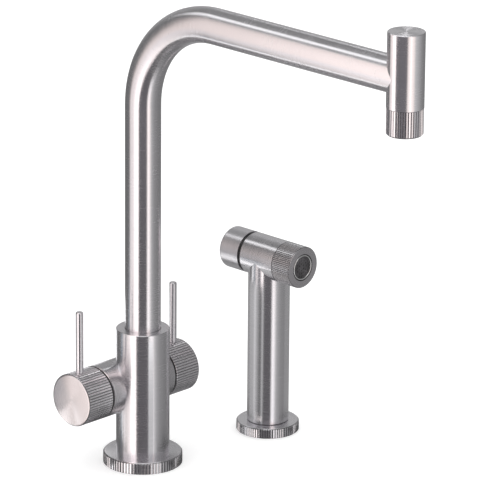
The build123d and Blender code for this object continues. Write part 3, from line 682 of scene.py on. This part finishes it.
# ---------------------------------------------------------------------------------------
# Brass inside the mixer: the manifold that the hoses screw into, the ceramic cartridges'
# bodies and spindles, and the foot that the spout turns on. Turned bright, a little brown.
# ---------------------------------------------------------------------------------------
brass_finish = dict(tone=(0.76, 0.55, 0.27), roughness=0.31, grain=0.55, marks=1600.0, mottle=0.13)


def middle(name):
    """Centre of a solid's box."""
    low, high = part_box(name)
    return tuple((a + b) / 2 for a, b in zip(low, high))


def dress_turned(name, axis, **finish):
    """Puts marks turned about the solid's own axis on it."""
    dress(name, turned(name + "_metal", middle(name), axis, **finish))


dress_turned("inlet_manifold", "Z", **brass_finish)
dress_turned("spout_foot", "Z", **brass_finish)
for side in ("left", "right"):
    dress_turned(side + "_cartridge_body", "X", **brass_finish)
    dress_turned(side + "_spindle", "X", **brass_finish)


# ---------------------------------------------------------------------------------------
# Ceramic discs of the cartridges: pressed alumina, off-white, with lapped faces.
# ---------------------------------------------------------------------------------------
alumina = moulded(
    "alumina", (0.82, 0.81, 0.78), (0.72, 0.70, 0.66), roughness=0.2, grain=5200.0, depth=8e-7,
    spread=0.05,
)
dress_all(("left_fixed_disc", "right_fixed_disc", "left_moving_disc", "right_moving_disc"), alumina)


# ---------------------------------------------------------------------------------------
# Plastic bearings and inserts: black glide rings between the turning parts, and the white
# diverter, aerator and docking sleeve.
# ---------------------------------------------------------------------------------------
acetal_grain = dict(grain=1900.0, depth=4e-6)
black_acetal = moulded(
    "black_acetal", (0.014, 0.014, 0.015), (0.040, 0.040, 0.042), roughness=0.4, **acetal_grain
)
white_acetal = moulded(
    "white_acetal", (0.80, 0.79, 0.76), (0.70, 0.69, 0.65), roughness=0.42, **acetal_grain
)
dress_all(("spout_glide_ring", "left_glide_ring", "right_glide_ring", "button_guide"), black_acetal)
dress_all(("diverter_body", "diverter_poppet", "aerator_insert", "dock_sleeve"), white_acetal)


# ---------------------------------------------------------------------------------------
# Spout: one stainless tube of 28 mm, bent once over a 77 mm former, then brushed round
# its length so that the marks follow the bend. A set screw at the back keeps it in place.
# ---------------------------------------------------------------------------------------
bend_radius = 0.077
arm_height = 0.3702
bend_y, bend_z = -bend_radius, arm_height - bend_radius
screw_finish = dict(roughness=0.34, marks=1800.0)


def bend_offsets(tree, own):
    """A point's x, y and z, and how far it is behind and above the bend's centre, never less
    than zero."""
    x, y, z = add_node(tree, "ShaderNodeSeparateXYZ", [(0, own)]).outputs
    behind = math_node(tree, "MAXIMUM", math_node(tree, "SUBTRACT", y, bend_y), 0.0)
    above = math_node(tree, "MAXIMUM", math_node(tree, "SUBTRACT", z, bend_z), 0.0)
    return x, y, z, behind, above


def unbent_place(tree, own):
    """Coordinates on the tube before it was bent: across, across, and along its length."""
    x, y, z, behind, above = bend_offsets(tree, own)
    behind_square = math_node(tree, "MULTIPLY", behind, behind)
    above_square = math_node(tree, "MULTIPLY", above, above)
    reach = math_node(tree, "SQRT", math_node(tree, "ADD", behind_square, above_square))
    beyond = math_node(tree, "MAXIMUM", math_node(tree, "SUBTRACT", bend_y, y), 0.0)
    upright = math_node(tree, "MINIMUM", z, bend_z)
    turn = math_node(tree, "ARCTAN2", above, behind)
    length = math_node(tree, "ADD", math_node(tree, "MULTIPLY_ADD", turn, bend_radius, upright), beyond)
    return add_node(tree, "ShaderNodeCombineXYZ", [
        (0, x), (1, math_node(tree, "SUBTRACT", reach, bend_radius)), (2, length),
    ]).outputs[0]


def along_tube(tree, own):
    """Direction of the tube's centreline."""
    *_, behind, above = bend_offsets(tree, own)
    return add_node(tree, "ShaderNodeCombineXYZ", [
        (1, math_node(tree, "MULTIPLY", above, -1.0)), (2, behind),
    ]).outputs[0]


dress("spout_tube", machined("spout_steel", unbent_place, along_tube, rotation=0.0))
dress_turned("spout_retaining_screw", "Y", tone=(0.62, 0.615, 0.62), **screw_finish)


# ---------------------------------------------------------------------------------------
# Outlet: a turned upright tube with a flat top, brazed to the end of the arm, and below it
# the knurled collar that holds the white aerator insert.
# ---------------------------------------------------------------------------------------
spout_reach = 0.2695
outlet_axis = (0.0, -spout_reach, 0.0)
dress("spout_outlet", turned("outlet_steel", outlet_axis, "Z"))
# painted shade darkens the grooves of the knurled collar
dress("aerator_collar", turned(
    "collar_steel", outlet_axis, "Z", knurl=groove_radii(rim_radius=0.0139)
))


# ---------------------------------------------------------------------------------------
# Handles: a knurled knob with a plain turned face, a little bowed, a thin pin lever
# screwed into it, and a set screw under it.
# ---------------------------------------------------------------------------------------
for side in ("left", "right"):
    # painted shade darkens the knurled grooves, more deeply than on the flanges
    dress(side + "_knob", turned(
        side + "_knob_steel", barrel_axis, "X", knurl=groove_radii(rim_radius=0.021), groove=0.10,
        # face is a painted reflection: a warm tint on the knob's turned face
        face=(1.03, 0.985, 0.96), bow=3.0, rim=(0.0194, 0.22),
    ))
    dress_turned(side + "_lever", "Z")
    dress_turned(side + "_knob_screw", "Z", tone=(0.60, 0.595, 0.60), **screw_finish)


# ---------------------------------------------------------------------------------------
# Holder of the hand spray: a second knurled flange, and a brass socket through the deck.
# ---------------------------------------------------------------------------------------
# painted shade darkens the grooves of the knurled flange
dress("spray_flange", turned(
    "spray_flange_steel", spray_axis, "Z", knurl=groove_radii(rim_radius=0.0251)
))
dress_turned("spray_holder", "Z", **brass_finish)


# ---------------------------------------------------------------------------------------
# Hand spray: a plain turned column with the head laid across it, and inside them the brass
# inlet, riser and valve block.
# ---------------------------------------------------------------------------------------
head_height = 0.1446
head_axis = (spray_axis[0], spray_axis[1], head_height)
dress("spray_column", turned("spray_column_steel", spray_axis, "Z"))
dress("spray_head", turned("spray_head_steel", head_axis, "Y", roughness=0.22))
dress_turned("hose_inlet", "Z", **brass_finish)
dress_turned("riser_tube", "Z", **brass_finish)
dress_turned("valve_housing", "Y", **brass_finish)
dress_turned("valve_plug", "Y", **brass_finish)


# ---------------------------------------------------------------------------------------
# Nozzle: a finely knurled collar, and in its mouth a soft black face with rings of small
# jets, each with a pinhole, inside a bright ring with a rounded edge.
# ---------------------------------------------------------------------------------------
# painted shade darkens the grooves of the fine knurling
nozzle_knurl = groove_radii(rim_radius=0.01675, floor_depth=0.00035, crest_depth=0.00005)
dress("nozzle_collar", turned(
    "nozzle_collar_steel", head_axis, "Y", tone=(0.66, 0.652, 0.674), knurl=nozzle_knurl,
    # face is painted light: the collar's front face made lighter
    face=(1.08, 1.06, 1.07),
))


def shade_smooth(piece):
    """Rounds the shading over a piece's edges."""
    piece.data.polygons.foreach_set("use_smooth", [True] * len(piece.data.polygons))


def rounded_ring(name, centre, inner, outer, low, high, around=160, across=24):
    """A ring about Y whose front, at low, is rounded: its section is a rectangle capped by
    half an ellipse. Point (u, v) is centre + r(v) (cos u, 0, sin u) + (0, y(v), 0)."""
    half = (outer - inner) / 2
    turn = np.linspace(0, math.pi, across)
    radius = np.concatenate([[inner], (inner + outer) / 2 - half * np.cos(turn), [outer]])
    y = np.concatenate([[high], low + half * (1 - np.sin(turn)), [high]])
    angle = np.linspace(0, 2 * math.pi, around, endpoint=False)
    points = np.zeros((around, len(radius), 3))
    points[..., 0] = centre[0] + radius[None, :] * np.cos(angle)[:, None]
    points[..., 1] = y[None, :]
    points[..., 2] = centre[2] + radius[None, :] * np.sin(angle)[:, None]
    ring = grid_mesh(name, points, closed_u=True, closed_v=True)
    shade_smooth(ring)
    return ring


ring_clearance = 0.0002         # inside the bezel's outer radius
ring_width = 0.00125
ring_rise = 0.0007              # its front, past the bezel's
low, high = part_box("nozzle_bezel")
ring_radius = (high[0] - low[0]) / 2 - ring_clearance
nozzle_ring = rounded_ring(
    "nozzle_ring", head_axis, ring_radius - ring_width, ring_radius, low[1] - ring_rise, high[1]
)
nozzle_ring.data.materials.append(
    turned("ring_steel", head_axis, "Y", tone=(0.92, 0.92, 0.92), roughness=0.12, grain=0.0)
)
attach(nozzle_ring, "hand_spray")
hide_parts("nozzle_bezel")

face_rubber = moulded(
    "face_rubber", (0.044, 0.042, 0.044), (0.106, 0.100, 0.108), roughness=0.44, grain=1900.0,
    depth=1.2e-5,
)
dress("spray_face", face_rubber)


# ---------------------------------------------------------------------------------------
# Push button: a blasted and turned cap at the back of the head, and the valve's stem that
# it moves. Between them a return spring, coiled from stainless wire with closed ends.
# ---------------------------------------------------------------------------------------
dress("push_cap", turned("cap_steel", head_axis, "Y", roughness=0.32, grain=0.6))
dress_turned("valve_stem", "Y", roughness=0.24)


def coiled_wire(name, centre, mean_radius, wire, low, high, turns=6.5, closed=1.0, along=520, around=10):
    """A compression spring about Y. Its line is centre + R (cos t, 0, sin t) + (0, y(t), 0),
    where y rises by one wire for each closed end turn and evenly in between. Its skin is the
    wire's radius away from that line, in the plane of the line's own normal and binormal,
    and is drawn to a point at both ends."""
    half = wire / 2
    turn = np.linspace(0, turns, along)
    y = np.interp(
        turn, [0, closed, turns - closed, turns],
        [low + half, low + half + closed * wire, high - half - closed * wire, high - half],
    )
    t = 2 * math.pi * turn
    outward = np.stack([np.cos(t), np.zeros(along), np.sin(t)], -1)
    line = np.array([centre[0], 0.0, centre[2]]) + mean_radius * outward
    line[:, 1] = y
    ahead = np.gradient(line, axis=0)
    ahead /= np.linalg.norm(ahead, axis=1)[:, None]
    aside = np.cross(ahead, outward)
    thickness = np.full(along, half)
    thickness[[0, -1]] = 0.0
    line[0], line[-1] = line[1], line[-2]
    angle = np.linspace(0, 2 * math.pi, around, endpoint=False)
    across = (
        np.cos(angle)[None, :, None] * outward[:, None, :]
        + np.sin(angle)[None, :, None] * aside[:, None, :]
    )
    spring = grid_mesh(name, line[:, None, :] + thickness[:, None, None] * across, closed_v=True)
    shell = bmesh.new()
    shell.from_mesh(spring.data)
    bmesh.ops.remove_doubles(shell, verts=shell.verts, dist=1e-7)
    bmesh.ops.recalc_face_normals(shell, faces=shell.faces)
    shell.to_mesh(spring.data)
    shell.free()
    shade_smooth(spring)
    return spring


spring_wire = 0.0011
low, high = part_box("return_spring")
spring = coiled_wire(
    "coil_spring", head_axis, (high[0] - low[0] - spring_wire) / 2, spring_wire, low[1], high[1]
)
spring.data.materials.append(turned(
    "spring_wire_steel", head_axis, "Y", tone=(0.62, 0.615, 0.62), roughness=0.3, grain=0.3,
    marks=900.0,
))
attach(spring, "hand_spray")
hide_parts("return_spring")
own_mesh(spring)
